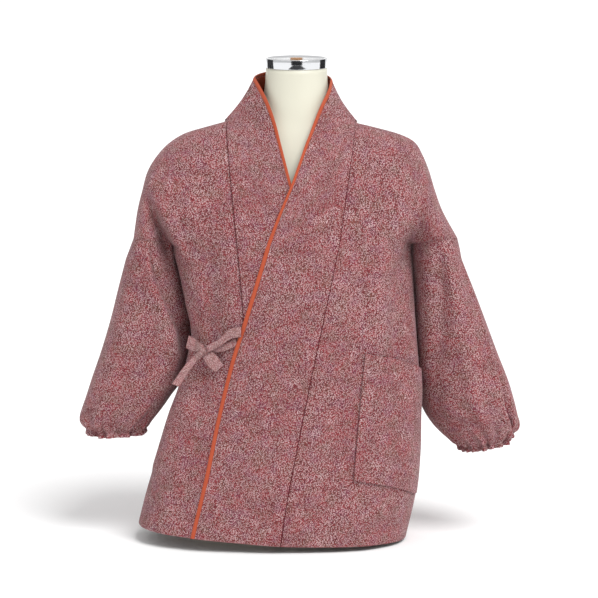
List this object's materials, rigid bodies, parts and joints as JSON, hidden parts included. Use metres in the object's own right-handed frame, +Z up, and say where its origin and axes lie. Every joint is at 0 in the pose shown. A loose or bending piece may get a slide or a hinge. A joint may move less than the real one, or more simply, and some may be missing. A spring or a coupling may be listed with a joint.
{
  "type": "kimono top on dress form",
  "caption": "Wrap-front kimono work top with deep band collar, piped edge, side tie, patch pocket and gathered cuffs, worn by a limbless dress form.",
  "frame": {"origin": "on the floor under the neck, in the flat base of the dress form", "axes": "+Z up, -Y to the front of the garment, +X to the wearer's left"},
  "size_m": [0.6906, 0.2627, 0.747],
  "materials": {
    "cloth": "matt woven cotton, rose red with small pale flecks",
    "orange_cloth": "matt plain orange cotton",
    "form": "smooth cream",
    "cap": "polished"
  },
  "bodies": {
    "root": {"form_torso": "form", "form_cap": "cap", "front_right": "cloth", "front_left": "cloth", "back": "cloth", "band_right": "cloth", "band_left": "cloth", "piping_right": "orange_cloth", "piping_left": "orange_cloth", "collar_facing": "orange_cloth", "sleeve_right": "cloth", "sleeve_left": "cloth", "pocket": "cloth", "tie_strap": "cloth", "tie_under_strap": "cloth", "tie_loop": "cloth", "tie_tail": "cloth", "tie_front_end": "cloth", "tie_knot": "cloth"}
  },
  "joints": []
}
